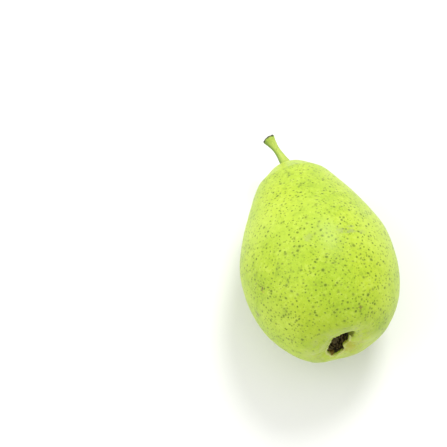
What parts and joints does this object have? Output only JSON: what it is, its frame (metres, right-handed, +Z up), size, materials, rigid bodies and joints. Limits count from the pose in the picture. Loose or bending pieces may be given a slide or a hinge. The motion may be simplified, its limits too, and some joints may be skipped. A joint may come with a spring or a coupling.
{
  "type": "pear",
  "caption": "Whole green pear lying on its side, egg-shaped and freckled, with a short curved stalk and withered sepals round an open eye.",
  "frame": {"origin": "on the surface the pear lies on, inside the flattened patch of its underside and straight below its centre of mass", "axes": "+Z up; +Y level, on the side of the stalk, with the core line dipping 9 degrees towards the stalk; -Y faces the eye (the calyx end); +X is the pear's right flank seen from the eye with the patch down"},
  "size_m": [0.0718, 0.116, 0.071],
  "materials": {
    "skin": "satin",
    "stalk": "matte",
    "husk": "matte"
  },
  "bodies": {
    "root": {"pear_body": "skin", "stem": "stalk", "sepal_1": "husk", "sepal_2": "husk", "sepal_3": "husk", "sepal_4": "husk", "sepal_5": "husk", "style_tuft": "husk"}
  },
  "joints": []
}
